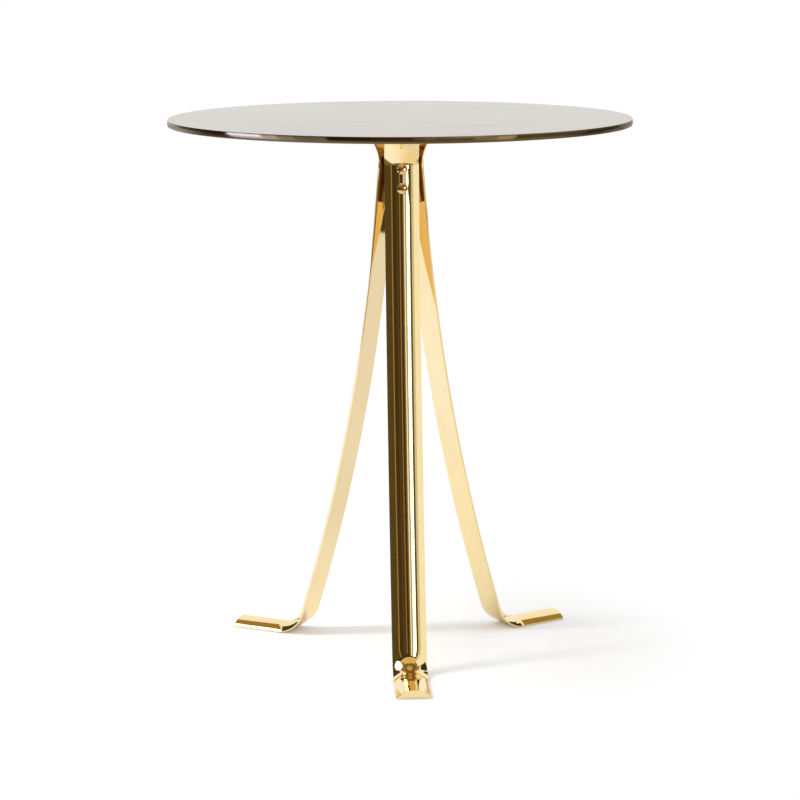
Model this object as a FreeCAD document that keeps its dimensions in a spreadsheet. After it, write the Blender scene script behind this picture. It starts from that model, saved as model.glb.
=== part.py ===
import FreeCAD, Part
import math
import os
from enum import IntEnum

import Sketcher
from FreeCAD import Placement, Rotation, Vector

# Wine table: a thin round top on three bent half-oval bars that are screwed to a small hub.
# Origin on the floor under the middle of the top, +Z up, front leg towards -Y.

# Driving dimensions in millimetres, angles in degrees.
SIZES = {
    # Round top plate
    "top_diameter": 430.0,
    "top_thickness": 6.0,
    "table_height": 505.0,
    "rim_bulge": 0.5,
    "rim_arris": 0.5,
    # Half-oval bar that each leg is bent from, flat face inwards
    "bar_width": 32.0,
    "bar_thickness": 8.0,
    "bar_side": 1.2,
    "bar_corner": 0.5,
    "bar_end_arris": 0.3,
    # Bends and straight ends of a leg, measured on the flat face
    "top_bend_radius": 37.0,
    "foot_bend_radius": 32.0,
    "shin_radius": 1827.0,
    "tab_length": 40.0,
    "foot_length": 48.0,
    # Hub: three leaning flats, one behind each leg
    "leg_gap": 8.1,
    "hub_corner_recess": 3.0,
    "hub_drop": 49.7,
    "hub_height": 45.0,
    "hub_lean": 5.35,
    "hub_arris": 0.6,
    # Slotted raised countersunk screws
    "screw_diameter": 5.0,
    "screw_head_diameter": 10.0,
    "screw_head_sink": 0.6,
    "screw_head_proud": 0.6,
    "screw_tip_chamfer": 0.6,
    "screw_slot_width": 1.3,
    "screw_slot_depth": 1.5,
    "hub_screw_spacing": 17.8,
    "hub_screw_grip": 7.0,
    "tab_screw_spacing": 18.0,
    "tab_screw_edge": 11.0,
    "tab_screw_grip": 3.6,
    # Clearances, on the radius or at the end of a hole
    "bar_hole_clearance": 0.3,
    "head_clearance": 0.1,
    "thread_clearance": 0.1,
    "hole_end_clearance": 0.6,
    "cut_margin": 2.0,
}

# Dimensions that follow from the driving ones.
WORKED_OUT = {
    # Top plate
    "top_radius": "=top_diameter / 2",
    "under_top": "=table_height - top_thickness",
    "top_flat_radius": "=top_radius - rim_bulge",
    "rim_radius": "=(top_thickness ^ 2 / 4 + rim_bulge ^ 2) / (2 * rim_bulge)",
    # Bar section
    "bar_flat_width": "=bar_width - 2 * bar_corner",
    "crown_rise": "=bar_thickness - bar_side",
    "crown_radius": "=(bar_width ^ 2 / 4 + crown_rise ^ 2) / (2 * crown_rise)",
    # Hub
    "hub_center_height": "=under_top - hub_drop",
    "hub_flat_distance": "=(leg_gap + bar_width / 2) / sqrt(3)",
    "hub_spread": "=hub_height / 2 * tan(hub_lean)",
    "hub_corner_distance": "=hub_flat_distance / 2 + bar_width * sqrt(3) / 4 - hub_corner_recess",
    "hub_corner_bottom": "=hub_corner_distance + hub_spread",
    # Line of the leg's flat face
    "hub_line_angle": "=90 + hub_lean",
    "shin_top_height": "=hub_center_height - hub_height / 2",
    "shin_top_reach": "=hub_flat_distance + hub_spread",
    "shin_center_height": "=shin_top_height + shin_radius * sin(hub_lean)",
    "shin_center_reach": "=shin_top_reach + shin_radius * cos(hub_lean)",
    "ankle_sine": "=(shin_center_height - foot_bend_radius) / (shin_radius - foot_bend_radius)",
    "ankle_cosine": "=sqrt(1 - ankle_sine ^ 2)",
    "foot_bend_reach": "=shin_center_reach - (shin_radius - foot_bend_radius) * ankle_cosine",
    "toe_reach": "=foot_bend_reach + foot_length",
    "top_bend_height": "=under_top - top_bend_radius",
    "top_bend_rise": "=top_bend_height - hub_center_height",
    "top_bend_reach": "=hub_flat_distance"
                      " + (top_bend_radius - top_bend_rise * sin(hub_lean)) / cos(hub_lean)",
    "tab_reach": "=top_bend_reach + tab_length",
    # Screws, heights measured from the tip
    "screw_radius": "=screw_diameter / 2",
    "screw_tip_radius": "=screw_radius - screw_tip_chamfer",
    "screw_head_radius": "=screw_head_diameter / 2",
    "screw_slot_length": "=screw_head_diameter + 2 * cut_margin",
    "hub_screw_rim": "=bar_thickness + hub_screw_grip - screw_head_sink",
    "hub_screw_neck": "=hub_screw_rim - screw_head_radius + screw_radius",
    "hub_screw_top": "=bar_thickness + hub_screw_grip + screw_head_proud",
    "hub_screw_slot_floor": "=hub_screw_top - screw_slot_depth",
    "tab_screw_rim": "=bar_thickness + tab_screw_grip - screw_head_sink",
    "tab_screw_neck": "=tab_screw_rim - screw_head_radius + screw_radius",
    "tab_screw_top": "=bar_thickness + tab_screw_grip + screw_head_proud",
    "tab_screw_slot_floor": "=tab_screw_top - screw_slot_depth",
    # Holes in the bar, depths measured from just inside the flat face
    "bar_hole_radius": "=screw_radius + bar_hole_clearance",
    "sink_radius": "=screw_head_radius + head_clearance",
    "sink_rim": "=cut_margin + bar_thickness - screw_head_sink",
    "sink_neck": "=sink_rim - sink_radius + bar_hole_radius",
    "sink_end": "=2 * cut_margin + bar_thickness",
    # Threaded holes in the hub and the top, measured from their blind ends
    "thread_radius": "=screw_radius + thread_clearance",
    "hub_hole_depth": "=hub_screw_grip + hole_end_clearance",
    "hub_hole_length": "=hub_hole_depth + cut_margin",
    "top_hole_depth": "=tab_screw_grip + hole_end_clearance",
    "top_hole_length": "=top_hole_depth + cut_margin",
}

# Direction of each leg about the vertical axis, in degrees from +X.
LEG_DIRECTIONS = {"front": -90.0, "rear_left": 150.0, "rear_right": 30.0}

# Turn of each hub screw's slot from level, seen from outside, upper screw first.
SLOT_TURNS = {"front": (48.0, -15.0), "rear_left": (-62.0, 24.0), "rear_right": (8.0, -40.0)}

LEG_COUNT = len(LEG_DIRECTIONS)
FULL_TURN = 360.0

# Points of an edge and axes of a sketch, as constraints number them.
START, END, CENTER = IntEnum("Spot", "START END CENTER")
HORIZONTAL_AXIS, VERTICAL_AXIS = IntEnum("Axis", {"HORIZONTAL": -1, "VERTICAL": -2})
ORIGIN_POINT = (HORIZONTAL_AXIS, START)

doc = FreeCAD.newDocument("wine_table")
sheet = doc.addObject("Spreadsheet::Sheet", "sizes")


def fill_sheet():
    """Write every dimension into the sheet under its own alias."""
    for row, (alias, value) in enumerate({**SIZES, **WORKED_OUT}.items(), start=1):
        sheet.set(f"A{row}", alias)
        sheet.set(f"B{row}", str(value))
        sheet.setAlias(f"B{row}", alias)
    doc.recompute()


def size(alias):
    """Value of one dimension of the sheet."""
    return float(sheet.get(alias))


def origin_feature(body, role):
    """Plane or axis of the body's own origin."""
    return next(feature for feature in body.Origin.OriginFeatures if feature.Role == role)


def new_body(name):
    """Empty body whose label names the piece."""
    body = doc.addObject("PartDesign::Body", name)
    body.Label = name
    return body


def new_sketch(body, name, role, offset=Placement()):
    """Sketch on one of the body's origin planes, moved by an offset within that plane's frame."""
    sketch = body.newObject("Sketcher::SketchObject", f"{body.Name}_{name}")
    sketch.AttachmentSupport = [(origin_feature(body, role), "")]
    sketch.MapMode = "FlatFace"
    sketch.AttachmentOffset = offset
    return sketch


def line(sketch, start, end):
    """Straight edge between two points, each an (x, y) pair."""
    return sketch.addGeometry(Part.LineSegment(Vector(*start, 0), Vector(*end, 0)), False)


def arc(sketch, center, radius, start_angle, end_angle):
    """Round edge, drawn anticlockwise between two angles in radians."""
    circle = Part.Circle(Vector(*center, 0), Vector(0, 0, 1), radius)
    return sketch.addGeometry(Part.ArcOfCircle(circle, start_angle, end_angle), False)


def fix(sketch, kind, *places):
    """Add a constraint that needs no size."""
    sketch.addConstraint(Sketcher.Constraint(kind, *places))


def bind(sketch, kind, places, alias):
    """Add a constraint whose length follows a cell of the sheet."""
    index = sketch.addConstraint(Sketcher.Constraint(kind, *places, size(alias)))
    sketch.setExpression(f"Constraints[{index}]", f"sizes.{alias}")


def bind_point(sketch, edge, end, x_alias, y_alias):
    """Tie one end of an edge to the sketch's origin; an alias of None puts it on that axis."""
    if x_alias is None:
        fix(sketch, "PointOnObject", edge, end, VERTICAL_AXIS)
    else:
        bind(sketch, "DistanceX", (*ORIGIN_POINT, edge, end), x_alias)
    if y_alias is None:
        fix(sketch, "PointOnObject", edge, end, HORIZONTAL_AXIS)
    else:
        bind(sketch, "DistanceY", (*ORIGIN_POINT, edge, end), y_alias)


def draw_half_section(sketch, corners):
    """Closed outline through corners given as pairs of aliases, for turning about the vertical axis."""
    points = [tuple(0.0 if alias is None else size(alias) for alias in corner) for corner in corners]
    edges = [line(sketch, point, points[(i + 1) % len(points)]) for i, point in enumerate(points)]
    for i, edge in enumerate(edges):
        fix(sketch, "Coincident", edge, END, edges[(i + 1) % len(edges)], START)
        bind_point(sketch, edge, START, *corners[i])


def turn(body, sketch, kind, name):
    """Revolve a half section about its own vertical axis, adding or cutting."""
    feature = body.newObject(kind, f"{body.Name}_{name}")
    feature.Profile = sketch
    feature.ReferenceAxis = (sketch, ["V_Axis"])
    feature.Angle = FULL_TURN
    sketch.Visibility = False
    doc.recompute()
    return feature


def repeat_for_legs(body, features):
    """Repeat features about the vertical axis, once for each leg."""
    pattern = body.newObject("PartDesign::PolarPattern", f"{body.Name}_holes")
    pattern.Originals = features
    pattern.Axis = (origin_feature(body, "Z_Axis"), [""])
    pattern.Angle = FULL_TURN
    pattern.Occurrences = LEG_COUNT
    body.Tip = pattern
    doc.recompute()


def hub_seat(level):
    """Middle of a hub screw on the leg's flat face, as (reach, height); level is 1 or -1."""
    along = level * size("hub_screw_spacing") / 2
    lean = math.radians(size("hub_lean"))
    return (
        size("hub_flat_distance") - along * math.sin(lean),
        size("hub_center_height") + along * math.cos(lean),
    )


def hub_offset(level, depth):
    """Sketch frame for a hub screw's hole: its upward axis leaves the hub, starting at a depth."""
    lean = math.radians(size("hub_lean"))
    reach, height = hub_seat(level)
    start = Vector(reach - depth * math.cos(lean), height - depth * math.sin(lean), 0)
    return Placement(start, Rotation(Vector(0, 0, 1), size("hub_lean") - 90.0))


def tab_reaches():
    """Distances of the tab screws from the table's axis, inner screw first."""
    outer = size("tab_reach") - size("tab_screw_edge")
    return (outer - size("tab_screw_spacing"), outer)


def tab_offset(reach, depth):
    """Sketch frame for a tab screw's hole: its upward axis points at the floor."""
    start = Vector(reach, size("under_top") + depth, 0)
    return Placement(start, Rotation(Vector(0, 0, 1), 180.0))


def draw_leg_line(body):
    """Path of the bar's flat face in the leg's own plane, from the toe up to the tab."""
    sketch = new_sketch(body, "line", "XZ_Plane")
    lean = math.radians(size("hub_lean"))
    ankle = math.asin(size("ankle_sine"))
    shin_top = (size("shin_top_reach"), size("shin_top_height"))
    top_radius = size("top_bend_radius")
    top_center = (size("top_bend_reach"), size("top_bend_height"))
    neck = (top_center[0] - top_radius * math.cos(lean), top_center[1] - top_radius * math.sin(lean))
    foot_center = (size("foot_bend_reach"), size("foot_bend_radius"))
    shin_center = (size("shin_center_reach"), size("shin_center_height"))
    foot = line(sketch, (size("toe_reach"), 0), (size("foot_bend_reach"), 0))
    foot_bend = arc(sketch, foot_center, size("foot_bend_radius"), math.pi + ankle, 1.5 * math.pi)
    shin = arc(sketch, shin_center, size("shin_radius"), math.pi + lean, math.pi + ankle)
    hub_run = line(sketch, shin_top, neck)
    top_bend = arc(sketch, top_center, top_radius, 0.5 * math.pi, math.pi + lean)
    tab = line(sketch, (top_center[0], size("under_top")), (size("tab_reach"), size("under_top")))
    joins = (
        (foot, END, foot_bend, END),
        (foot_bend, START, shin, END),
        (shin, START, hub_run, START),
        (hub_run, END, top_bend, END),
        (top_bend, START, tab, START),
    )
    for join in joins:
        fix(sketch, "Tangent", *join)
    fix(sketch, "Horizontal", foot)
    fix(sketch, "Horizontal", tab)
    bind_point(sketch, foot, START, "toe_reach", None)
    bind_point(sketch, hub_run, START, "shin_top_reach", "shin_top_height")
    bind_point(sketch, tab, END, "tab_reach", "under_top")
    bind(sketch, "Radius", (foot_bend,), "foot_bend_radius")
    bind(sketch, "Radius", (shin,), "shin_radius")
    bind(sketch, "Radius", (top_bend,), "top_bend_radius")
    slope = Sketcher.Constraint("Angle", hub_run, math.radians(size("hub_line_angle")))
    index = sketch.addConstraint(slope)
    sketch.setExpression(f"Constraints[{index}]", "sizes.hub_line_angle * 1 deg")
    return sketch


def draw_bar_section(body):
    """Half-oval section of the bar at the toe, its flat face on the floor."""
    sketch = new_sketch(body, "section", "YZ_Plane", Placement(Vector(0, 0, size("toe_reach")), Rotation()))
    sketch.setExpression("AttachmentOffset.Base.z", "sizes.toe_reach")
    half = size("bar_width") / 2
    corner = size("bar_corner")
    side = size("bar_side")
    crown_radius = size("crown_radius")
    crown_center = size("bar_thickness") - crown_radius
    crown_start = math.asin((side - crown_center) / crown_radius)
    flat = line(sketch, (corner - half, 0), (half - corner, 0))
    right_corner = arc(sketch, (half - corner, corner), corner, 1.5 * math.pi, 2 * math.pi)
    right_side = line(sketch, (half, corner), (half, side))
    crown = arc(sketch, (0, crown_center), crown_radius, crown_start, math.pi - crown_start)
    left_side = line(sketch, (-half, side), (-half, corner))
    left_corner = arc(sketch, (corner - half, corner), corner, math.pi, 1.5 * math.pi)
    fix(sketch, "Tangent", flat, END, right_corner, START)
    fix(sketch, "Tangent", right_corner, END, right_side, START)
    fix(sketch, "Coincident", right_side, END, crown, START)
    fix(sketch, "Coincident", crown, END, left_side, START)
    fix(sketch, "Tangent", left_side, END, left_corner, START)
    fix(sketch, "Tangent", left_corner, END, flat, START)
    fix(sketch, "PointOnObject", flat, START, HORIZONTAL_AXIS)
    fix(sketch, "Symmetric", flat, START, flat, END, VERTICAL_AXIS)
    fix(sketch, "Vertical", right_side)
    fix(sketch, "Vertical", left_side)
    fix(sketch, "Equal", right_corner, left_corner)
    fix(sketch, "Horizontal", right_side, END, left_side, START)
    bind(sketch, "Radius", (right_corner,), "bar_corner")
    bind(sketch, "DistanceX", (flat, START, flat, END), "bar_flat_width")
    bind(sketch, "DistanceY", (*ORIGIN_POINT, right_side, END), "bar_side")
    bind(sketch, "Radius", (crown,), "crown_radius")
    return sketch


def cut_bar_hole(body, name, offset):
    """Countersunk clearance hole through the bar, from inside the flat face to above the crown."""
    sketch = new_sketch(body, name, "XZ_Plane", offset)
    draw_half_section(
        sketch,
        (
            (None, None),
            ("bar_hole_radius", None),
            ("bar_hole_radius", "sink_neck"),
            ("sink_radius", "sink_rim"),
            ("sink_radius", "sink_end"),
            (None, "sink_end"),
        ),
    )
    turn(body, sketch, "PartDesign::Groove", f"{name}_cut")


def cut_thread_hole(body, name, offset, length_alias):
    """Blind threaded hole, drawn as a plain bore that runs out past the surface."""
    sketch = new_sketch(body, name, "XZ_Plane", offset)
    draw_half_section(
        sketch,
        (
            (None, None),
            ("thread_radius", None),
            ("thread_radius", length_alias),
            (None, length_alias),
        ),
    )
    return turn(body, sketch, "PartDesign::Groove", f"{name}_cut")


def end_faces(shape):
    """Names of the square-cut ends of the bar, found by where they lie."""
    reaches = (size("toe_reach"), size("tab_reach"))
    names = []
    for number, face in enumerate(shape.Faces, start=1):
        box = face.BoundBox
        flat_across = box.XLength < size("bar_corner") / 2
        if flat_across and any(abs(box.XMax - reach) < size("bar_corner") for reach in reaches):
            names.append(f"Face{number}")
    return names


def make_leg(name):
    """One leg: half-oval bar bent out into a tab at the top and a foot at the floor."""
    body = new_body(name)
    path = draw_leg_line(body)
    section = draw_bar_section(body)
    bar = body.newObject("PartDesign::AdditivePipe", f"{name}_bar")
    bar.Profile = section
    bar.Spine = path
    doc.recompute()
    ends = body.newObject("PartDesign::Chamfer", f"{name}_ends")
    ends.Base = (bar, end_faces(bar.Shape))
    ends.setExpression("Size", "sizes.bar_end_arris")
    doc.recompute()
    cut_bar_hole(body, "upper_hole", hub_offset(1, size("cut_margin")))
    cut_bar_hole(body, "lower_hole", hub_offset(-1, size("cut_margin")))
    for place, reach in zip(("inner", "outer"), tab_reaches()):
        cut_bar_hole(body, f"{place}_hole", tab_offset(reach, size("cut_margin")))
    return body


def make_hub(name):
    """Six-sided block between the legs: leaning flats for the legs, narrow faces at the corners."""
    body = new_body(name)
    bottom = Placement(Vector(0, 0, size("shin_top_height")), Rotation())
    outline = new_sketch(body, "outline", "XY_Plane", bottom)
    outline.setExpression("AttachmentOffset.Base.z", "sizes.shin_top_height")
    side_count = 2 * LEG_COUNT
    step = 2 * math.pi / side_count
    aliases = ["shin_top_reach", "hub_corner_bottom"] * LEG_COUNT
    corners = []
    for i, alias in enumerate(aliases):
        distance = size(alias)
        slide = (size(aliases[i - 1]) - distance * math.cos(step)) / math.sin(step)
        facing = i * step
        corners.append((
            distance * math.cos(facing) + slide * math.sin(facing),
            distance * math.sin(facing) - slide * math.cos(facing),
        ))
    edges = [line(outline, point, corners[(i + 1) % side_count]) for i, point in enumerate(corners)]
    for i, edge in enumerate(edges):
        heading = math.remainder(i * step + math.pi / 2, 2 * math.pi)
        fix(outline, "Coincident", edge, END, edges[(i + 1) % side_count], START)
        fix(outline, "Angle", edge, heading)
        bind(outline, "Distance", (*ORIGIN_POINT, edge), aliases[i])
    block = body.newObject("PartDesign::Pad", f"{name}_block")
    block.Profile = outline
    block.setExpression("Length", "sizes.hub_height")
    block.setExpression("TaperAngle", "-sizes.hub_lean * 1 deg")
    doc.recompute()
    level_faces = [
        f"Face{number}"
        for number, face in enumerate(block.Shape.Faces, start=1)
        if face.BoundBox.ZLength < size("hub_arris") / 2
    ]
    eased = body.newObject("PartDesign::Chamfer", f"{name}_arris")
    eased.Base = (block, level_faces)
    eased.setExpression("Size", "sizes.hub_arris")
    doc.recompute()
    depth = size("hub_hole_depth")
    holes = [
        cut_thread_hole(body, "upper_hole", hub_offset(1, depth), "hub_hole_length"),
        cut_thread_hole(body, "lower_hole", hub_offset(-1, depth), "hub_hole_length"),
    ]
    repeat_for_legs(body, holes)
    return body


def make_top(name):
    """Round plate with a slightly bulged rim and blind screw holes underneath."""
    body = new_body(name)
    section = new_sketch(body, "section", "XZ_Plane")
    under = size("under_top")
    height = size("table_height")
    flat_radius = size("top_flat_radius")
    rim_radius = size("rim_radius")
    half_sweep = math.asin(size("top_thickness") / 2 / rim_radius)
    rim_center = (size("top_radius") - rim_radius, (under + height) / 2)
    underside = line(section, (0, under), (flat_radius, under))
    rim = arc(section, rim_center, rim_radius, -half_sweep, half_sweep)
    surface = line(section, (flat_radius, height), (0, height))
    axis = line(section, (0, height), (0, under))
    fix(section, "Coincident", underside, END, rim, START)
    fix(section, "Coincident", rim, END, surface, START)
    fix(section, "Coincident", surface, END, axis, START)
    fix(section, "Coincident", axis, END, underside, START)
    bind_point(section, underside, START, None, "under_top")
    bind_point(section, underside, END, "top_flat_radius", "under_top")
    bind_point(section, surface, START, "top_flat_radius", "table_height")
    bind_point(section, surface, END, None, "table_height")
    bind(section, "Radius", (rim,), "rim_radius")
    plate = turn(body, section, "PartDesign::Revolution", "plate")
    rim_edges = [
        f"Edge{number}"
        for number, edge in enumerate(plate.Shape.Edges, start=1)
        if edge.BoundBox.ZLength < size("rim_arris") / 2
        and abs(edge.BoundBox.XLength - 2 * flat_radius) < size("rim_bulge")
    ]
    eased = body.newObject("PartDesign::Fillet", f"{name}_arris")
    eased.Base = (plate, rim_edges)
    eased.setExpression("Radius", "sizes.rim_arris")
    doc.recompute()
    depth = size("top_hole_depth")
    holes = [
        cut_thread_hole(body, f"{place}_hole", tab_offset(reach, depth), "top_hole_length")
        for place, reach in zip(("inner", "outer"), tab_reaches())
    ]
    repeat_for_legs(body, holes)
    return body


def make_screw(name, family):
    """Slotted screw standing on its tip; family is hub_screw or tab_screw and sets its length."""
    body = new_body(name)
    section = new_sketch(body, "section", "XZ_Plane")
    tip_radius = size("screw_tip_radius")
    shank = size("screw_radius")
    head = size("screw_head_radius")
    rim = size(f"{family}_rim")
    top = size(f"{family}_top")
    neck = size(f"{family}_neck")
    shoulder = size("screw_tip_chamfer")
    rise = top - rim
    dome_radius = (head ** 2 + rise ** 2) / (2 * rise)
    dome_start = math.acos(head / dome_radius)
    tip = line(section, (0, 0), (tip_radius, 0))
    lead = line(section, (tip_radius, 0), (shank, shoulder))
    stem = line(section, (shank, shoulder), (shank, neck))
    cone = line(section, (shank, neck), (head, rim))
    dome = arc(section, (0, top - dome_radius), dome_radius, dome_start, 0.5 * math.pi)
    axis = line(section, (0, top), (0, 0))
    chain = (tip, lead, stem, cone)
    for first, second in zip(chain, chain[1:]):
        fix(section, "Coincident", first, END, second, START)
    fix(section, "Coincident", cone, END, dome, START)
    fix(section, "Coincident", dome, END, axis, START)
    fix(section, "Coincident", axis, END, tip, START)
    bind_point(section, tip, START, None, None)
    bind_point(section, lead, START, "screw_tip_radius", None)
    bind_point(section, stem, START, "screw_radius", "screw_tip_chamfer")
    bind_point(section, cone, START, "screw_radius", f"{family}_neck")
    bind_point(section, cone, END, "screw_head_radius", f"{family}_rim")
    bind_point(section, axis, START, None, f"{family}_top")
    fix(section, "PointOnObject", dome, CENTER, VERTICAL_AXIS)
    turn(body, section, "PartDesign::Revolution", "blank")
    floor = Placement(Vector(0, 0, size(f"{family}_slot_floor")), Rotation())
    slot_outline = new_sketch(body, "slot_outline", "XY_Plane", floor)
    slot_outline.setExpression("AttachmentOffset.Base.z", f"sizes.{family}_slot_floor")
    half_length = size("screw_slot_length") / 2
    half_width = size("screw_slot_width") / 2
    corners = (
        (-half_length, -half_width),
        (half_length, -half_width),
        (half_length, half_width),
        (-half_length, half_width),
    )
    edges = [line(slot_outline, point, corners[(i + 1) % 4]) for i, point in enumerate(corners)]
    for i, edge in enumerate(edges):
        fix(slot_outline, "Coincident", edge, END, edges[(i + 1) % 4], START)
        fix(slot_outline, ("Horizontal", "Vertical")[i % 2], edge)
    fix(slot_outline, "Symmetric", edges[0], START, edges[2], START, *ORIGIN_POINT)
    bind(slot_outline, "DistanceX", (edges[0], START, edges[0], END), "screw_slot_length")
    bind(slot_outline, "DistanceY", (edges[1], START, edges[1], END), "screw_slot_width")
    slot = body.newObject("PartDesign::Pocket", f"{name}_slot")
    slot.Profile = slot_outline
    slot.Type = "ThroughAll"
    slot.Reversed = True
    doc.recompute()
    return body


def place_on_leg(direction, local):
    """Placement in the table's frame of something placed in a leg's own frame."""
    return Placement(Vector(), Rotation(Vector(0, 0, 1), direction)) * local


def hub_screw_placement(direction, level, slot_turn):
    """Screw square to the leaning flat, its head outside."""
    lean = size("hub_lean")
    grip = size("hub_screw_grip")
    reach, height = hub_seat(level)
    tip = Vector(
        reach - grip * math.cos(math.radians(lean)),
        0,
        height - grip * math.sin(math.radians(lean)),
    )
    local = Placement(tip, Rotation(Vector(0, 1, 0), 90.0 - lean))
    spin = Placement(Vector(), Rotation(Vector(0, 0, 1), 90.0 + slot_turn))
    return place_on_leg(direction, local * spin)


def tab_screw_placement(direction, reach):
    """Screw driven up through the tab, its head underneath."""
    tip = Vector(reach, 0, size("under_top") + size("tab_screw_grip"))
    return place_on_leg(direction, Placement(tip, Rotation(Vector(1, 0, 0), 180.0)))


def build_table():
    """Make every piece and put it in its place."""
    turned = place_on_leg(LEG_DIRECTIONS["front"], Placement())
    pieces = [make_top("table_top"), make_hub("leg_hub")]
    for piece in pieces:
        piece.Placement = turned
    for side, direction in LEG_DIRECTIONS.items():
        leg = make_leg(f"leg_{side}")
        leg.Placement = place_on_leg(direction, Placement())
        pieces.append(leg)
        for place, level, slot_turn in zip(("upper", "lower"), (1, -1), SLOT_TURNS[side]):
            screw = make_screw(f"hub_screw_{side}_{place}", "hub_screw")
            screw.Placement = hub_screw_placement(direction, level, slot_turn)
            pieces.append(screw)
        for place, reach in zip(("inner", "outer"), tab_reaches()):
            screw = make_screw(f"tab_screw_{side}_{place}", "tab_screw")
            screw.Placement = tab_screw_placement(direction, reach)
            pieces.append(screw)
    doc.recompute()
    return pieces


def check_table(pieces):
    """Stop with a message if a feature failed, cut nothing, or left a bad solid."""
    faults = []
    for item in doc.Objects:
        if {"Invalid", "Error"} & set(item.State):
            faults.append(f"{item.Name}: {item.getStatusString()}")
        elif item.TypeId in ("PartDesign::Groove", "PartDesign::Pocket"):
            if item.Shape.Volume >= item.BaseFeature.Shape.Volume:
                faults.append(f"{item.Name}: cuts nothing")
    for piece in pieces:
        shape = piece.Shape
        if shape.isNull() or not shape.isValid() or len(shape.Solids) != 1:
            faults.append(f"{piece.Label}: not one valid solid")
    if faults:
        raise RuntimeError("; ".join(faults))


def write_table(pieces):
    """Write each piece to its own file."""
    os.makedirs("parts", exist_ok=True)
    for piece in pieces:
        piece.Shape.exportStep(f"parts/{piece.Label}.step")
        print(f"{piece.Label}: {piece.Shape.Volume:.1f} mm3")


fill_sheet()
table = build_table()
check_table(table)
write_table(table)
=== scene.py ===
import logging
import math
from dataclasses import dataclass
from enum import Enum
from typing import Any

import bpy
from mathutils import Matrix, Vector

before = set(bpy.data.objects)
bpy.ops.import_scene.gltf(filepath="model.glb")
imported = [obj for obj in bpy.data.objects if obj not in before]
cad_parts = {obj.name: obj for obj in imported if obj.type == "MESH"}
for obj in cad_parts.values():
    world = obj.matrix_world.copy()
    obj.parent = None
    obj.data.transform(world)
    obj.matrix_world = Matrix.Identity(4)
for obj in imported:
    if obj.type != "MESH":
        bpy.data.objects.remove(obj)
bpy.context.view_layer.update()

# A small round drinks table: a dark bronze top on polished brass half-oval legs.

Span = tuple[float, float]
Point = tuple[float, float, float]
Light = tuple[float, float, float]
Colour = tuple[float, float, float, float]
Socket = bpy.types.NodeSocket

LOG = logging.getLogger("wine_table")
WHITE: Colour = (1.0, 1.0, 1.0, 1.0)
RISING: Span = (0.0, 1.0)
FALLING: Span = (1.0, 0.0)


class LegPlace(Enum):
    """The legs, by the names that the CAD nodes use."""

    FRONT = "front"
    REAR_LEFT = "rear_left"
    REAR_RIGHT = "rear_right"


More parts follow.
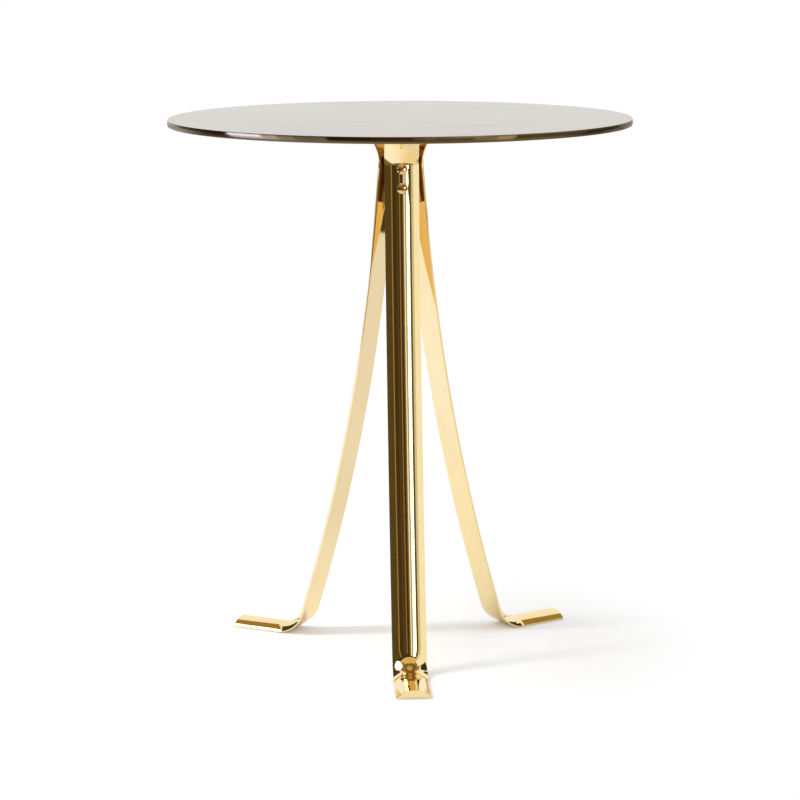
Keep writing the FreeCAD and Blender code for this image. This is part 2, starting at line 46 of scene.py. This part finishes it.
class ShaderSheet:
    """A node tree being filled in, with short calls for adding and joining nodes."""

    def __init__(self, tree: bpy.types.NodeTree) -> None:
        """Clears the tree.

        Args:
            tree: The material's or world's node tree.
        """
        self.tree = tree
        tree.nodes.clear()

    def add(self, kind: str, inputs: dict[str, Any] | None = None, **settings: Any) -> bpy.types.Node:
        """Adds one node.

        Args:
            kind: The node's type name after "ShaderNode".
            inputs: Socket names or numbers, each with a constant or with another node's output to link.
            **settings: Node properties.

        Returns:
            The new node.
        """
        node = self.tree.nodes.new("ShaderNode" + kind)
        for name, value in settings.items():
            setattr(node, name, value)
        for name, value in (inputs or {}).items():
            socket = node.inputs[int(name)] if name.isdigit() else node.inputs[name]
            if isinstance(value, bpy.types.NodeSocket):
                self.tree.links.new(value, socket)
            else:
                socket.default_value = value
        return node

    def place(self) -> Socket:
        """Adds the piece's own coordinates."""
        return self.add("TexCoord").outputs["Object"]

    def math(self, operation: str, first: Any, second: Any = 0.0, clamp: bool = False) -> Socket:
        """Adds a Math node.

        Args:
            operation: The Math node's operation.
            first: First value or socket.
            second: Second value or socket.
            clamp: Whether the result is held between 0 and 1.

        Returns:
            The result socket.
        """
        values = {"0": first, "1": second}
        return self.add("Math", values, operation=operation, use_clamp=clamp).outputs[0]

    def both(self, first: Socket, second: Socket) -> Socket:
        """Adds a switch that is on where two others are."""
        return self.math("MULTIPLY", first, second)

    def length(self, vector: Socket) -> Socket:
        """Adds the length of a vector."""
        return self.add("VectorMath", {"0": vector}, operation="LENGTH").outputs["Value"]

    def ramp(self, value: Socket, limits: Span, results: Span = RISING) -> Socket:
        """Adds a smooth Map Range.

        Args:
            value: Socket that is mapped.
            limits: The values at which the ramp starts and ends.
            results: What it gives at its start and end, and beyond them.

        Returns:
            The result socket.
        """
        ends = {"From Min": limits[0], "From Max": limits[1], "To Min": results[0], "To Max": results[1]}
        return self.add("MapRange", {"Value": value, **ends}, interpolation_type="SMOOTHSTEP").outputs[0]

    def blend(self, factor: Socket, first: Any, second: Any) -> Socket:
        """Mixes two numbers.

        Args:
            factor: 0 for the first number, 1 for the second.
            first: Number or socket.
            second: Number or socket.

        Returns:
            The mixed number's socket.
        """
        return self.add("Mix", {"0": factor, "2": first, "3": second}).outputs[0]

    def mix(self, factor: Socket, first: Any, second: Any) -> Socket:
        """Mixes two colours, which a Mix node keeps after its numbers and vectors.

        Args:
            factor: 0 for the first colour, 1 for the second.
            first: Colour or socket.
            second: Colour or socket.

        Returns:
            The mixed colour's socket.
        """
        return self.add("Mix", {"0": factor, "6": first, "7": second}, data_type="RGBA").outputs[2]

    def noise(self, vector: Socket, scale: float, detail: float, roughness: float = 0.5) -> Socket:
        """Adds a noise texture.

        Args:
            vector: Coordinates.
            scale: Waves per metre, about.
            detail: Octaves.
            roughness: Strength of the finer octaves.

        Returns:
            The noise value's socket, about 0.5 in the middle.
        """
        values = {"Vector": vector, "Scale": scale, "Detail": detail, "Roughness": roughness}
        return self.add("TexNoise", values).outputs[0]

    def streaks(self, vector: Socket, stretch: Point, detail: float) -> Socket:
        """Adds a noise texture that is drawn out along an axis.

        Args:
            vector: Coordinates.
            stretch: Waves per metre along each axis, about.
            detail: Octaves.

        Returns:
            The noise value's socket, about 0.5 in the middle.
        """
        stretched = self.add("Mapping", {"Vector": vector, "Scale": stretch}).outputs[0]
        return self.noise(stretched, 1.0, detail)

    def bump(self, height: Socket, depth: float) -> Socket:
        """Adds a bump of the given depth in metres."""
        return self.add("Bump", {"Height": height, "Distance": depth, "Strength": 1.0}).outputs[0]

    def seen(self) -> Socket:
        """Adds a switch for what is looked at.

        Returns:
            The socket that is 1 where the camera, a mirror or a glass looks, and 0 for light that falls.
        """
        path = self.add("LightPath").outputs
        mirrored = self.math("ADD", path["Is Glossy Ray"], path["Is Transmission Ray"])
        looked_at = self.math("ADD", path["Is Camera Ray"], mirrored, clamp=True)
        unscattered = self.math("SUBTRACT", 1.0, path["Diffuse Depth"], clamp=True)
        return self.both(looked_at, unscattered)

    def glow(self, colour: Any, strength: Any) -> Socket:
        """Adds plain light of a colour and a strength."""
        return self.add("Emission", {"Color": colour, "Strength": strength}).outputs[0]

    def either(self, factor: Socket, first: Socket, second: Socket) -> Socket:
        """Adds a mix of two shaders, the first at 0 and the second at 1."""
        return self.add("MixShader", {"0": factor, "1": first, "2": second}).outputs[0]

    def principled(self, inputs: dict[str, Any]) -> Socket:
        """Adds the shader of a solid piece with the given inputs."""
        return self.add("BsdfPrincipled", inputs).outputs[0]

    def surface(self, shader: Socket) -> None:
        """Makes a shader the material's surface."""
        self.add("OutputMaterial", {"Surface": shader})


def start_material(name: str) -> tuple[bpy.types.Material, ShaderSheet]:
    """Makes an empty node material.

    Args:
        name: The material's name.

    Returns:
        The material and the sheet of its nodes.
    """
    material = bpy.data.materials.new(name)
    material.use_nodes = True
    return material, ShaderSheet(material.node_tree)


@dataclass(frozen=True)
class PolishedBrass:
    """Mirror-polished brass with a slight hand-buffed waviness and fine wiping marks."""

    name: str = "brass_polished"
    tone: Colour = (0.95, 0.765, 0.41, 1.0)
    deeper: Colour = (0.935, 0.735, 0.37, 1.0)
    roughness: Span = (0.03, 0.07)
    cloud_scale: float = 24.0
    cloud_detail: float = 3.0
    cloud_spread: Span = (0.35, 0.75)
    wipe_stretch: Point = (700.0, 700.0, 40.0)
    wipe_detail: float = 2.0
    wipe_spread: Span = (0.3, 0.75)
    wave_scale: float = 11.0
    wave_detail: float = 1.0
    wave_depth: float = 0.00035

    def material(self) -> bpy.types.Material:
        """Makes the bars' brass.

        Returns:
            The material.
        """
        material, sheet = start_material(self.name)
        place = sheet.place()
        clouds = sheet.noise(place, self.cloud_scale, self.cloud_detail)
        wipes = sheet.streaks(place, self.wipe_stretch, self.wipe_detail)
        waves = sheet.noise(place, self.wave_scale, self.wave_detail)
        sheet.surface(sheet.principled({
            "Base Color": sheet.mix(sheet.ramp(clouds, self.cloud_spread), self.tone, self.deeper),
            "Metallic": 1.0,
            "Roughness": sheet.ramp(wipes, self.wipe_spread, self.roughness),
            "Normal": sheet.bump(waves, self.wave_depth),
        }))
        return material


@dataclass(frozen=True)
class MottledBrass:
    """Brass that wasn't buffed, with a tone and a polish that vary in small patches."""

    name: str
    tone: Colour
    deeper: Colour
    roughness: Span
    patch_scale: float
    patch_detail: float
    tone_spread: Span = (0.35, 0.7)
    polish_spread: Span = (0.3, 0.7)

    def material(self) -> bpy.types.Material:
        """Makes the mottled brass.

        Returns:
            The material.
        """
        material, sheet = start_material(self.name)
        patches = sheet.noise(sheet.place(), self.patch_scale, self.patch_detail)
        sheet.surface(sheet.principled({
            "Base Color": sheet.mix(sheet.ramp(patches, self.tone_spread), self.tone, self.deeper),
            "Metallic": 1.0,
            "Roughness": sheet.ramp(patches, self.polish_spread, self.roughness),
        }))
        return material


# The hub is rougher, and its tone is painted a deeper brown as painted shade between the legs.
HUB_PAINTED_SHADE_BRASS = MottledBrass(
    "brass_hub_painted_shade", (0.62, 0.38, 0.125, 1.0), (0.44, 0.25, 0.075, 1.0), (0.10, 0.22), 60.0, 4.0
)
# The screws are turned, and then wiped over with the bars.
TURNED_BRASS = MottledBrass(
    "brass_turned", (0.90, 0.65, 0.33, 1.0), (0.72, 0.47, 0.20, 1.0), (0.08, 0.16), 900.0, 3.0
)


@dataclass(frozen=True)
class DarkBronze:
    """Dark patinated bronze with a satin hand-rubbed sheen.

    It is brushed round the rim, lighter at the arris as wear and a painted highlight, and lighter and less
    metallic round the hub underneath as painted light.
    Reaches are metres from the table's axis, and heights are metres above the floor.
    """

    name: str = "bronze_dark"
    tone: Colour = (0.22, 0.168, 0.095, 1.0)
    darker: Colour = (0.20, 0.150, 0.082, 1.0)
    grazing: Colour = (1.0, 0.985, 0.96, 1.0)
    roughness: Span = (0.11, 0.135)
    cloud_scale: float = 14.0
    cloud_detail: float = 4.0
    cloud_roughness: float = 0.6
    cloud_spread: Span = (0.3, 0.7)
    polish_spread: Span = (0.3, 0.75)
    streak_stretch: Point = (9.0, 9.0, 1500.0)
    streak_detail: float = 3.0
    streak_spread: Span = (0.35, 0.65)
    streak_strength: Span = (0.0, 0.6)
    streak_depth: float = 0.00002
    rim_tone: Colour = (0.17, 0.118, 0.058, 1.0)
    rim_roughness: float = 0.26
    rim_reach: Span = (0.2143, 0.2146)
    rim_height: Span = (0.5046, 0.5048)
    # The arris colour is lighter, partly as wear and partly as a painted highlight.
    arris_wear_and_painted_highlight: Colour = (0.62, 0.55, 0.44, 1.0)
    arris_reach: Span = (0.2138, 0.2146)
    arris_height: Span = (0.5048, 0.5049)
    # The underside round the hub is painted lighter and made less metallic, as painted light for light
    # bounced between the brass parts.
    underside_painted_light: Colour = (0.74, 0.47, 0.16, 1.0)
    underside_painted_light_metal: float = 0.4
    underside_painted_light_roughness: float = 0.45
    underside_painted_light_reach: Span = (0.083, 0.086)
    underside_painted_light_height: Span = (0.4991, 0.4994)

    def material(self) -> bpy.types.Material:
        """Makes the top's bronze.

        Returns:
            The material.
        """
        material, sheet = start_material(self.name)
        place = sheet.place()
        axes = sheet.add("SeparateXYZ", {"Vector": place}).outputs
        flat = sheet.add("CombineXYZ", {"X": axes["X"], "Y": axes["Y"]}).outputs[0]
        reach, height = sheet.length(flat), axes["Z"]
        rim = sheet.both(sheet.ramp(reach, self.rim_reach), sheet.ramp(height, self.rim_height, FALLING))
        # This mask puts the lighter arris colour on, partly wear and partly a painted highlight.
        arris_wear_and_painted_highlight = sheet.both(sheet.ramp(reach, self.arris_reach), sheet.ramp(height, self.arris_height))
        # This mask puts painted light on the underside round the hub.
        underside_painted_light = sheet.both(
            sheet.ramp(reach, self.underside_painted_light_reach, FALLING), sheet.ramp(height, self.underside_painted_light_height, FALLING)
        )

        clouds = sheet.noise(place, self.cloud_scale, self.cloud_detail, self.cloud_roughness)
        streaks = sheet.streaks(place, self.streak_stretch, self.streak_detail)
        patina = sheet.mix(sheet.ramp(clouds, self.cloud_spread), self.tone, self.darker)
        brushing = sheet.ramp(streaks, self.streak_spread, self.streak_strength)
        colour = sheet.mix(brushing, patina, self.darker)
        # The arris gets wear and a painted highlight, and the underside round the hub gets painted light.
        for part, tone in ((rim, self.rim_tone), (arris_wear_and_painted_highlight, self.arris_wear_and_painted_highlight), (underside_painted_light, self.underside_painted_light)):
            colour = sheet.mix(part, colour, tone)

        polish = sheet.ramp(clouds, self.polish_spread, self.roughness)
        roughness = polish
        for part, rubbed in ((rim, self.rim_roughness), (underside_painted_light, self.underside_painted_light_roughness)):
            rougher = sheet.math("MULTIPLY", part, sheet.math("SUBTRACT", rubbed, polish))
            roughness = sheet.math("ADD", roughness, rougher)

        sheet.surface(sheet.principled({
            "Base Color": colour,
            "Specular Tint": self.grazing,
            "Metallic": sheet.ramp(underside_painted_light, RISING, (1.0, self.underside_painted_light_metal)),
            "Roughness": roughness,
            "Normal": sheet.bump(streaks, self.streak_depth),
        }))
        return material


def dress_node(node: str, material: bpy.types.Material) -> None:
    """Gives a CAD node its finish.

    Args:
        node: The node's name.
        material: The finish.
    """
    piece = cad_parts[node]
    for slot in piece.material_slots:
        slot.material = material
    LOG.info("dressed %s with %s", node, material.name)


@dataclass
class RoundTop:
    """The round bronze top."""

    node: str = "table_top"
    finish: DarkBronze = DarkBronze()

    def dress(self) -> None:
        """Gives the top its bronze."""
        dress_node(self.node, self.finish.material())


@dataclass
class LegFrame:
    """The three legs and the hub between them."""

    hub_node: str = "leg_hub"
    finish: PolishedBrass = PolishedBrass()
    # The hub's brass carries painted shade between the legs.
    hub_finish: MottledBrass = HUB_PAINTED_SHADE_BRASS

    def dress(self) -> None:
        """Gives the legs and the hub their brass."""
        brass = self.finish.material()
        dress_node(self.hub_node, self.hub_finish.material())
        for place in LegPlace:
            dress_node(f"leg_{place.value}", brass)


@dataclass
class Screws:
    """The slotted screws through the legs into the hub and the top."""

    hub_rows: tuple[str, str] = ("upper", "lower")
    tab_rows: tuple[str, str] = ("inner", "outer")
    finish: MottledBrass = TURNED_BRASS

    def dress(self) -> None:
        """Gives the screws their brass."""
        brass = self.finish.material()
        for place in LegPlace:
            for row in self.hub_rows:
                dress_node(f"hub_screw_{place.value}_{row}", brass)
            for row in self.tab_rows:
                dress_node(f"tab_screw_{place.value}_{row}", brass)


def way_to(turn: float, rise: float) -> Vector:
    """Works out a direction from the table.

    Args:
        turn: Degrees from the camera's side, to the right positive.
        rise: Degrees above the horizon.

    Returns:
        The unit vector.
    """
    across, up = math.radians(turn), math.radians(rise)
    return Vector((math.sin(across) * math.cos(up), -math.cos(across) * math.cos(up), math.sin(up)))


@dataclass(frozen=True)
class Grid:
    """Deep louvres in front of a panel, which let its light out only towards one place.

    The spread is one less the cosine of the angle at which they start to hide it, and hide it all.
    An even blend makes Layer Weight give just that for the louvres' own direction.
    """

    aim: Point
    spread: Span
    shade: Colour = (0.085, 0.068, 0.026, 1.0)
    even_blend: float = 0.5

    def shown(self, sheet: ShaderSheet, level: Colour) -> Socket:
        """Works out what shows past the louvres.

        Args:
            sheet: The panel's node tree.
            level: The colour of its light.

        Returns:
            The colour's socket.
        """
        way = sheet.add("VectorMath", {"0": self.aim, "1": sheet.place()}, operation="SUBTRACT").outputs[0]
        louvre = sheet.add("VectorMath", {"0": way}, operation="NORMALIZE").outputs[0]
        aslant = sheet.add("LayerWeight", {"Blend": self.even_blend, "Normal": louvre}).outputs["Facing"]
        return sheet.mix(sheet.ramp(aslant, self.spread), level, self.shade)


@dataclass(frozen=True)
class Panel:
    """A studio panel that only the metal sees, given as a patch of the room round the table.

    Turns are in degrees from the camera's side of the table, to the right positive, and rises
    are in degrees above the horizon, both seen from the middle of the table at eye height.
    """

    name: str
    turns: Span
    rises: Span
    level: Light
    distance: float = 3.8
    oval: bool = False
    grid: Grid | None = None
    eye_height: float = 0.25
    step: float = 4.0
    oval_step: float = 1.0
    fewest_steps: int = 2

    def hang(self) -> None:
        """Hangs the panel in the room."""
        card = bpy.data.objects.new("studio_" + self.name, self._mesh())
        bpy.context.scene.collection.objects.link(card)
        card.data.materials.append(self._material())
        card.visible_camera = False
        card.visible_diffuse = False
        card.visible_shadow = False

    def _mesh(self) -> bpy.types.Mesh:
        """Makes the patch, in steps small enough to look round, and without corners if it is oval.

        Returns:
            The mesh.
        """
        (turn, last_turn), (rise, last_rise) = self.turns, self.rises
        step = self.oval_step if self.oval else self.step
        columns = max(self.fewest_steps, round((last_turn - turn) / step))
        rows = max(self.fewest_steps, round((last_rise - rise) / step))
        eye = Vector((0.0, 0.0, self.eye_height))
        corners = [
            eye + self.distance * way_to(
                turn + (last_turn - turn) * column / columns, rise + (last_rise - rise) * row / rows
            )
            for row in range(rows + 1) for column in range(columns + 1)
        ]
        wide = columns + 1
        starts = [
            row * wide + column for row in range(rows) for column in range(columns)
            if not self.oval
            or math.hypot((2 * column + 1) / columns - 1.0, (2 * row + 1) / rows - 1.0) < 1.0
        ]
        faces = [(first, first + 1, first + wide + 1, first + wide) for first in starts]
        mesh = bpy.data.meshes.new(self.name)
        mesh.from_pydata(corners, [], faces)
        return mesh

    def _material(self) -> bpy.types.Material:
        """Makes the panel's light.

        Returns:
            The material.
        """
        material, sheet = start_material("studio_" + self.name)
        material.cycles.emission_sampling = "NONE"
        level = (*self.level, 1.0)
        colour = self.grid.shown(sheet, level) if self.grid else level
        sheet.surface(sheet.glow(colour, sheet.seen()))
        return material


# The softbox shines on the feet, and each rim card on the rim, the way it shows from the camera's side.
FEET_GRID = Grid((-0.07, -0.05, 0.01), (0.022, 0.040))
LEFT_RIM_GRID = Grid((1.0, 0.1, 0.505), (0.10, 0.25))
FRONT_LEFT_RIM_GRID = Grid((0.75, 0.61, 0.505), (0.10, 0.25))
FRONT_RIM_GRID = Grid((-0.72, 0.67, 0.505), (0.12, 0.26))
RIGHT_RIM_GRID = Grid((-1.0, -0.09, 0.505), (0.12, 0.26))
BACK_RIM_GRID = Grid((-0.70, -0.86, 0.505), (0.16, 0.30))

# The rim cards stand close to the rim and end just over the table's surface, which hardly mirrors them.
RIM_DISTANCE = 0.338
TALL_CARD: Span = (46.3, 49.2)
TALL_CARD_FOOT: Span = (46.3, 48.4)
TALL_CARD_HEAD: Span = (48.4, 49.2)
LOW_CARD: Span = (47.0, 49.2)


def rim_card(name: str, turns: Span, rises: Span, level: Light, grid: Grid) -> Panel:
    """Gives a panel that stands close to the rim.

    Args:
        name: The panel's name.
        turns: Its sides, in degrees.
        rises: Its lower and upper edge, in degrees.
        level: The colour of its light.
        grid: The louvres in front of it.

    Returns:
        The panel.
    """
    return Panel(name, turns, rises, level, RIM_DISTANCE, grid=grid)


@dataclass
class StudioFloor:
    """A white floor with shadows near the table, plain white far off and clear from below.

    The metal sees painted light on it to the left, paler and bluer, and painted shade to the right, warmer
    in front and greyer behind, and sees where it ends.
    """

    reach: float = 30.0
    gap: float = 0.0001
    colour: Colour = (0.95, 0.95, 0.95, 1.0)
    glow: float = 0.09
    shadow_reach: Span = (0.15, 0.30)
    mirrored_reach: Span = (0.22, 0.50)
    # Painted light on the left and painted shade on the right, in the floor as the metal sees it.
    left: Colour = (1.04, 1.08, 1.24, 1.0)
    right_front_painted_shade: Colour = (0.90, 0.79, 0.55, 1.0)
    right_back_painted_shade: Colour = (0.87, 0.86, 0.92, 1.0)
    blend: Span = (-0.6, 0.6)
    past_end: Colour = (0.20, 0.14, 0.07, 1.0)
    front_end: Span = (-1.80, -1.35)
    left_end: Span = (-1.75, -1.30)
    right_end: Span = (1.5, 2.0)
    right_end_back: Span = (-0.45, 0.05)
    open_back: Span = (1.0, 1.6)

    def build(self) -> None:
        """Lays the floor."""
        bpy.ops.object.select_all(action="DESELECT")
        bpy.ops.mesh.primitive_plane_add(size=2.0 * self.reach, location=(0.0, 0.0, -self.gap))
        floor = bpy.context.object
        floor.name = "studio_floor"
        floor.data.materials.append(self._material())

    def _material(self) -> bpy.types.Material:
        """Makes the floor's white.

        Returns:
            The material.
        """
        material, sheet = start_material("floor_white")
        place = sheet.place()
        path = sheet.add("LightPath").outputs
        direct = path["Is Camera Ray"]
        matt = sheet.add("BsdfDiffuse", {"Color": self.colour}).outputs[0]
        lift = sheet.glow(WHITE, sheet.math("MULTIPLY", direct, self.glow))
        near = sheet.add("AddShader", {"0": matt, "1": lift}).outputs[0]
        plain = sheet.either(direct, sheet.glow(self._mirrored(sheet, place), 1.0), sheet.glow(WHITE, 1.0))
        out = sheet.length(place)
        fade = sheet.blend(
            direct, sheet.ramp(out, self.mirrored_reach), sheet.ramp(out, self.shadow_reach)
        )
        shade = sheet.either(sheet.both(sheet.seen(), fade), near, plain)
        turned = sheet.add("NewGeometry").outputs["Backfacing"]
        below = sheet.math("MAXIMUM", turned, path["Transparent Depth"], clamp=True)
        sheet.surface(sheet.either(below, shade, sheet.add("BsdfTransparent").outputs[0]))
        return material

    def _mirrored(self, sheet: ShaderSheet, place: Socket) -> Socket:
        """Works out the floor's colour as the metal sees it.

        Args:
            sheet: The floor's node tree.
            place: The floor's coordinates.

        Returns:
            The colour's socket.
        """
        axes = sheet.add("SeparateXYZ", {"Vector": place}).outputs
        across, back = axes["X"], axes["Y"]
        # The sides' colours are painted light to the left and painted shade to the right.
        right = sheet.mix(sheet.ramp(back, self.blend), self.right_front_painted_shade, self.right_back_painted_shade)
        even = sheet.mix(sheet.ramp(across, self.blend), self.left, right)
        past_front = sheet.ramp(back, self.front_end, FALLING)
        past_left = sheet.ramp(across, self.left_end, FALLING)
        past_right = sheet.both(sheet.ramp(across, self.right_end), sheet.ramp(back, self.right_end_back))
        past_any = sheet.math("MAXIMUM", sheet.math("MAXIMUM", past_front, past_left), past_right)
        closed = sheet.both(past_any, sheet.ramp(back, self.open_back, FALLING))
        return sheet.mix(closed, even, self.past_end)


@dataclass
class SoftLamp:
    """A tall narrow lamp at the upper left, so that shadows fall to the right."""

    power: float = 8.4
    distance: float = 1.6
    size: Span = (0.16, 0.80)
    turn: float = -80.0
    rise: float = 56.0

    def build(self) -> None:
        """Hangs the lamp, which the metal doesn't mirror."""
        data = bpy.data.lights.new("soft_lamp", "AREA")
        data.energy = self.power
        data.shape = "RECTANGLE"
        data.size, data.size_y = self.size
        lamp = bpy.data.objects.new("soft_lamp", data)
        bpy.context.scene.collection.objects.link(lamp)
        way = way_to(self.turn, self.rise)
        lamp.location = self.distance * way
        lamp.rotation_euler = (-way).to_track_quat("-Z", "Y").to_euler()
        lamp.visible_glossy = False


@dataclass
class Sky:
    """A world that is white where it is looked at, and elsewhere a soft light that is weaker overhead."""

    level: float = 1.02
    overhead: float = 0.34
    fade: Span = (0.78, 0.93)

    def build(self) -> None:
        """Makes the world."""
        world = bpy.data.worlds.new("studio")
        bpy.context.scene.world = world
        world.use_nodes = True
        sheet = ShaderSheet(world.node_tree)
        way = sheet.add("SeparateXYZ", {"Vector": sheet.add("TexCoord").outputs["Generated"]}).outputs
        soft = sheet.ramp(way["Z"], self.fade, (self.level, self.overhead))
        strength = sheet.blend(sheet.seen(), soft, 1.0)
        sky = sheet.add("Background", {"Color": WHITE, "Strength": strength}).outputs[0]
        sheet.add("OutputWorld", {"Surface": sky})


@dataclass
class Studio:
    """White floor and backdrop, a soft lamp, and the panels that the metal mirrors."""

    panels: tuple[Panel, ...] = (
        Panel("ceiling", (-180.0, 180.0), (49.5, 90.0), (0.34, 0.22, 0.070), 4.4),
        Panel("front_ceiling", (-62.0, 62.0), (47.0, 90.0), (0.74, 0.53, 0.20), 4.3),
        Panel("left_softbox", (-114.0, -68.0), (19.0, 55.0), (3.5, 3.5, 3.5), 1.05, True, FEET_GRID),
        rim_card("rim_card", (-49.6, -38.5), TALL_CARD_FOOT, (2.9, 3.9, 7.4), LEFT_RIM_GRID),
        rim_card("rim_card_top", (-49.6, -38.5), TALL_CARD_HEAD, (6.2, 8.2, 16.0), LEFT_RIM_GRID),
        rim_card("rim_card_side", (-38.5, -33.9), TALL_CARD, (2.3, 2.9, 4.4), LEFT_RIM_GRID),
        rim_card("rim_card_edge", (-33.9, -29.2), TALL_CARD, (1.3, 1.5, 1.9), FRONT_LEFT_RIM_GRID),
        rim_card("rim_card_end", (-29.2, -20.8), LOW_CARD, (0.75, 0.8, 0.9), FRONT_LEFT_RIM_GRID),
        rim_card("rim_dim", (5.5, 14.8), LOW_CARD, (0.45, 0.46, 0.48), FRONT_RIM_GRID),
        rim_card("rim_glint", (14.8, 20.9), LOW_CARD, (1.0, 1.0, 1.1), FRONT_RIM_GRID),
        rim_card("rim_glint_peak", (20.9, 25.6), LOW_CARD, (1.9, 1.8, 1.9), FRONT_RIM_GRID),
        rim_card("rim_shade", (25.6, 49.0), LOW_CARD, (0.33, 0.35, 0.37), RIGHT_RIM_GRID),
        rim_card("rim_dark", (49.0, 68.7), LOW_CARD, (0.12, 0.10, 0.08), BACK_RIM_GRID),
        rim_card("rim_shade_end", (68.7, 86.4), LOW_CARD, (0.50, 0.50, 0.50), BACK_RIM_GRID),
        Panel("dark_room", (-118.0, 46.0), (-4.0, 46.0), (0.055, 0.038, 0.015), 4.2),
        Panel("olive_wall", (-118.0, -66.0), (-4.0, 34.0), (0.085, 0.068, 0.026)),
        Panel("brown_wall", (-66.0, -53.0), (-4.0, 34.0), (0.10, 0.06, 0.016)),
        Panel("lit_doorway", (-52.0, -46.5), (-4.0, 34.0), (0.36, 0.24, 0.10)),
        Panel("brown_panel", (-28.0, -19.0), (-4.0, 30.0), (0.09, 0.06, 0.018)),
        Panel("warm_stand", (-13.0, -8.0), (-4.0, 30.0), (0.33, 0.19, 0.075)),
        Panel("grey_panel", (3.0, 8.0), (-4.0, 30.0), (0.20, 0.18, 0.10)),
        Panel("thin_strip", (9.0, 14.5), (-4.0, 40.0), (1.05, 1.05, 1.05)),
        Panel("dim_strip", (15.5, 21.0), (-4.0, 40.0), (0.45, 0.42, 0.32)),
        Panel("bright_strip", (22.0, 36.5), (-4.0, 40.0), (3.0, 3.0, 3.0)),
        Panel("gap", (39.5, 47.0), (-4.0, 30.0), (0.11, 0.095, 0.04)),
        Panel("near_wall", (47.0, 59.0), (-4.0, 58.0), (0.66, 0.64, 0.58)),
        Panel("right_wall", (59.0, 96.0), (-4.0, 58.0), (1.0, 1.0, 1.0)),
        Panel("right_wall_top", (96.0, 104.0), (45.0, 58.0), (0.70, 0.62, 0.46)),
        Panel("right_gap", (96.0, 123.0), (20.0, 44.0), (0.04, 0.03, 0.02)),
        Panel("left_gap", (-140.0, -118.0), (3.0, 44.0), (0.06, 0.05, 0.03)),
        Panel("right_back_gap", (121.5, 131.0), (-4.0, 20.0), (0.05, 0.038, 0.02), 0.95),
        Panel("right_floor_edge", (140.0, 172.0), (-3.4, -1.0), (0.45, 0.34, 0.18), 4.2),
        Panel("left_floor_edge", (-172.0, -140.0), (-3.4, -1.0), (0.45, 0.34, 0.18), 4.2),
    )

    def build(self) -> None:
        """Makes the floor, the lamp, the panels and the world."""
        StudioFloor().build()
        SoftLamp().build()
        for panel in self.panels:
            panel.hang()
        Sky().build()
        LOG.info("set up the studio with %d panels", len(self.panels))


@dataclass
class PhotoCamera:
    """The camera at the photograph's viewing angle, in metres, degrees and pixels of the photograph."""

    photo_pixels: float = 800.0
    sensor_width: float = 36.0
    focal_pixels: float = 2627.8
    distance: float = 2.4407
    height: float = 0.6944
    sideways: float = 0.0688
    turn: float = -4.587
    level: float = 90.0
    pitch: float = 10.579
    roll: float = -0.05
    shift: float = -0.0938
    sight: float = 200.0

    def build(self) -> None:
        """Makes the camera and hands it to the scene."""
        data = bpy.data.cameras.new("photo_camera")
        data.sensor_width = self.sensor_width
        data.lens = self.focal_pixels / self.photo_pixels * self.sensor_width
        data.shift_x = self.shift
        data.clip_end = self.sight
        camera = bpy.data.objects.new("photo_camera", data)
        bpy.context.scene.collection.objects.link(camera)
        heading = Matrix.Rotation(math.radians(self.turn), 4, "Z")
        stand = Matrix.Translation((self.sideways, -self.distance, self.height))
        tilt = Matrix.Rotation(math.radians(self.level - self.pitch), 4, "X")
        lean = Matrix.Rotation(math.radians(self.roll), 4, "Z")
        camera.matrix_world = heading @ stand @ tilt @ lean
        bpy.context.scene.camera = camera
        LOG.info("set up the camera")


def main() -> None:
    """Dresses the table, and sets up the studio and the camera."""
    logging.basicConfig(level=logging.INFO)
    bpy.context.scene.view_settings.view_transform = "Standard"
    RoundTop().dress()
    LegFrame().dress()
    Screws().dress()
    Studio().build()
    PhotoCamera().build()


if __name__ == "__main__":
    main()
